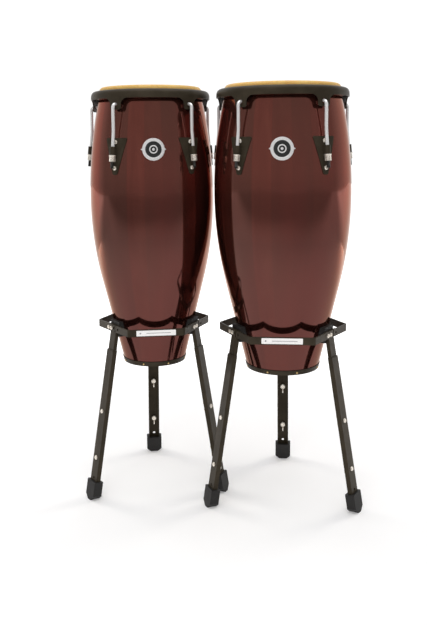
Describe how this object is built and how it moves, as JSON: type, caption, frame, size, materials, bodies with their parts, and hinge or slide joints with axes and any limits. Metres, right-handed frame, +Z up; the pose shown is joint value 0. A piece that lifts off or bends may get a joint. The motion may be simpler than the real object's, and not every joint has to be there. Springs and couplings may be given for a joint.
{
  "type": "pair of conga drums on stands",
  "caption": "Pair of tall barrel-shaped hand drums with tunable skins, each lifted into a three-legged steel stand with a hexagonal frame and adjustable legs.",
  "frame": {"origin": "on the floor, in the middle of the pair", "axes": "+Z up, +X from the smaller drum to the larger one, the badges face -Y"},
  "size_m": [0.6961, 0.4506, 1.0444],
  "materials": {
    "lacquered_wood": "dark wine-red high-gloss lacquer over oak staves",
    "black_powder_coat": "satin black powder coat",
    "chrome": "polished chrome",
    "nickel": "nickel plate",
    "rawhide": "amber rawhide",
    "steel": "plain steel",
    "brass": "small brass nails",
    "rubber": "matt black rubber",
    "badge_metal": "bright ring around a black face"
  },
  "bodies": {
    "stands": {"left_side_straps": "black_powder_coat", "left_leg_brackets": "black_powder_coat", "left_upper_legs": "black_powder_coat", "left_rubber_pads": "rubber", "left_frame_bolts": "nickel", "right_side_straps": "black_powder_coat", "right_leg_brackets": "black_powder_coat", "right_upper_legs": "black_powder_coat", "right_rubber_pads": "rubber", "right_frame_bolts": "nickel"},
    "left_drum": {"left_shell": "lacquered_wood", "left_bottom_hoop": "black_powder_coat", "left_hoop_nails": "brass", "left_lug_brackets": "black_powder_coat", "left_bracket_bolts": "nickel", "left_bracket_nuts": "nickel", "left_badge": "badge_metal"},
    "left_head": {"left_head_skin": "rawhide", "left_flesh_hoop": "steel", "left_rim": "black_powder_coat", "left_tuning_hooks": "chrome"},
    "left_nut_1": {"left_tuning_nut_1": "nickel"},
    "left_nut_2": {"left_tuning_nut_2": "nickel"},
    "left_nut_3": {"left_tuning_nut_3": "nickel"},
    "left_nut_4": {"left_tuning_nut_4": "nickel"},
    "left_nut_5": {"left_tuning_nut_5": "nickel"},
    "left_front_left_leg": {"left_front_left_lower_leg": "black_powder_coat", "left_front_left_foot": "rubber", "left_front_left_clamp_fasteners": "nickel"},
    "left_front_right_leg": {"left_front_right_lower_leg": "black_powder_coat", "left_front_right_foot": "rubber", "left_front_right_clamp_fasteners": "nickel"},
    "left_rear_leg": {"left_rear_lower_leg": "black_powder_coat", "left_rear_foot": "rubber", "left_rear_clamp_fasteners": "nickel"},
    "right_drum": {"right_shell": "lacquered_wood", "right_bottom_hoop": "black_powder_coat", "right_hoop_nails": "brass", "right_lug_brackets": "black_powder_coat", "right_bracket_bolts": "nickel", "right_bracket_nuts": "nickel", "right_badge": "badge_metal"},
    "right_head": {"right_head_skin": "rawhide", "right_flesh_hoop": "steel", "right_rim": "black_powder_coat", "right_tuning_hooks": "chrome"},
    "right_nut_1": {"right_tuning_nut_1": "nickel"},
    "right_nut_2": {"right_tuning_nut_2": "nickel"},
    "right_nut_3": {"right_tuning_nut_3": "nickel"},
    "right_nut_4": {"right_tuning_nut_4": "nickel"},
    "right_nut_5": {"right_tuning_nut_5": "nickel"},
    "right_front_left_leg": {"right_front_left_lower_leg": "black_powder_coat", "right_front_left_foot": "rubber", "right_front_left_clamp_fasteners": "nickel"},
    "right_front_right_leg": {"right_front_right_lower_leg": "black_powder_coat", "right_front_right_foot": "rubber", "right_front_right_clamp_fasteners": "nickel"},
    "right_rear_leg": {"right_rear_lower_leg": "black_powder_coat", "right_rear_foot": "rubber", "right_rear_clamp_fasteners": "nickel"}
  },
  "joints": [
    {"name": "left_drum_lift", "type": "slide", "parent": "stands", "child": "left_drum", "axis": [0, 0, 1], "range_m": [0, 0.16]},
    {"name": "left_head_slacken", "type": "slide", "parent": "left_drum", "child": "left_head", "axis": [0, 0, 1], "range_m": [0, 0.008]},
    {"name": "left_nut_1_turn", "type": "hinge", "parent": "left_drum", "child": "left_nut_1", "pos_m": [-0.06047, -0.10224, 0.8748], "axis": [-0.0706, 0.0771, 0.9945], "range_deg": [-2305, 0]},
    {"name": "left_nut_2_turn", "type": "hinge", "parent": "left_drum", "child": "left_nut_2", "pos_m": [-0.02129, 0.09032, 0.8748], "axis": [-0.0951, -0.0433, 0.9945], "range_deg": [-2305, 0]},
    {"name": "left_nut_3_turn", "type": "hinge", "parent": "left_drum", "child": "left_nut_3", "pos_m": [-0.19232, 0.18709, 0.8748], "axis": [0.0118, -0.1039, 0.9945], "range_deg": [-2305, 0]},
    {"name": "left_nut_4_turn", "type": "hinge", "parent": "left_drum", "child": "left_nut_4", "pos_m": [-0.3372, 0.05433, 0.8748], "axis": [0.1024, -0.0208, 0.9945], "range_deg": [-2305, 0]},
    {"name": "left_nut_5_turn", "type": "hinge", "parent": "left_drum", "child": "left_nut_5", "pos_m": [-0.25571, -0.12449, 0.8748], "axis": [0.0515, 0.091, 0.9945], "range_deg": [-2305, 0]},
    {"name": "left_front_left_leg_slide", "type": "slide", "parent": "stands", "child": "left_front_left_leg", "axis": [-0.1354, -0.1002, -0.9857], "range_m": [-0.015, 0.1]},
    {"name": "left_front_right_leg_slide", "type": "slide", "parent": "stands", "child": "left_front_right_leg", "axis": [0.1545, -0.0672, -0.9857], "range_m": [-0.015, 0.1]},
    {"name": "left_rear_leg_slide", "type": "slide", "parent": "stands", "child": "left_rear_leg", "axis": [-0.0191, 0.1674, -0.9857], "range_m": [-0.015, 0.1]},
    {"name": "right_drum_lift", "type": "slide", "parent": "stands", "child": "right_drum", "axis": [0, 0, 1], "range_m": [0, 0.16]},
    {"name": "right_head_slacken", "type": "slide", "parent": "right_drum", "child": "right_head", "axis": [0, 0, 1], "range_m": [0, 0.008]},
    {"name": "right_nut_1_turn", "type": "hinge", "parent": "right_drum", "child": "right_nut_1", "pos_m": [0.25042, -0.20751, 0.8748], "axis": [-0.0531, 0.0901, 0.9945], "range_deg": [-2305, 0]},
    {"name": "right_nut_2_turn", "type": "hinge", "parent": "right_drum", "child": "right_nut_2", "pos_m": [0.33394, -0.01544, 0.8748], "axis": [-0.1021, -0.0226, 0.9945], "range_deg": [-2305, 0]},
    {"name": "right_nut_3_turn", "type": "hinge", "parent": "right_drum", "child": "right_nut_3", "pos_m": [0.17708, 0.12334, 0.8748], "axis": [-0.01, -0.104, 0.9945], "range_deg": [-2305, 0]},
    {"name": "right_nut_4_turn", "type": "hinge", "parent": "right_drum", "child": "right_nut_4", "pos_m": [-0.00338, 0.01704, 0.8748], "axis": [0.0959, -0.0417, 0.9945], "range_deg": [-2305, 0]},
    {"name": "right_nut_5_turn", "type": "hinge", "parent": "right_drum", "child": "right_nut_5", "pos_m": [0.04195, -0.18743, 0.8748], "axis": [0.0693, 0.0783, 0.9945], "range_deg": [-2305, 0]},
    {"name": "right_front_left_leg_slide", "type": "slide", "parent": "stands", "child": "right_front_left_leg", "axis": [-0.1533, -0.0699, -0.9857], "range_m": [-0.015, 0.1]},
    {"name": "right_front_right_leg_slide", "type": "slide", "parent": "stands", "child": "right_front_right_leg", "axis": [0.1372, -0.0978, -0.9857], "range_m": [-0.015, 0.1]},
    {"name": "right_rear_leg_slide", "type": "slide", "parent": "stands", "child": "right_rear_leg", "axis": [0.0161, 0.1677, -0.9857], "range_m": [-0.015, 0.1]}
  ],
  "couplings": [
    {"joint": "left_nut_1_turn", "follows": "left_head_slacken", "rad_per_m": -5026.5},
    {"joint": "left_nut_2_turn", "follows": "left_head_slacken", "rad_per_m": -5026.5},
    {"joint": "left_nut_3_turn", "follows": "left_head_slacken", "rad_per_m": -5026.5},
    {"joint": "left_nut_4_turn", "follows": "left_head_slacken", "rad_per_m": -5026.5},
    {"joint": "left_nut_5_turn", "follows": "left_head_slacken", "rad_per_m": -5026.5},
    {"joint": "right_nut_1_turn", "follows": "right_head_slacken", "rad_per_m": -5026.5},
    {"joint": "right_nut_2_turn", "follows": "right_head_slacken", "rad_per_m": -5026.5},
    {"joint": "right_nut_3_turn", "follows": "right_head_slacken", "rad_per_m": -5026.5},
    {"joint": "right_nut_4_turn", "follows": "right_head_slacken", "rad_per_m": -5026.5},
    {"joint": "right_nut_5_turn", "follows": "right_head_slacken", "rad_per_m": -5026.5}
  ]
}
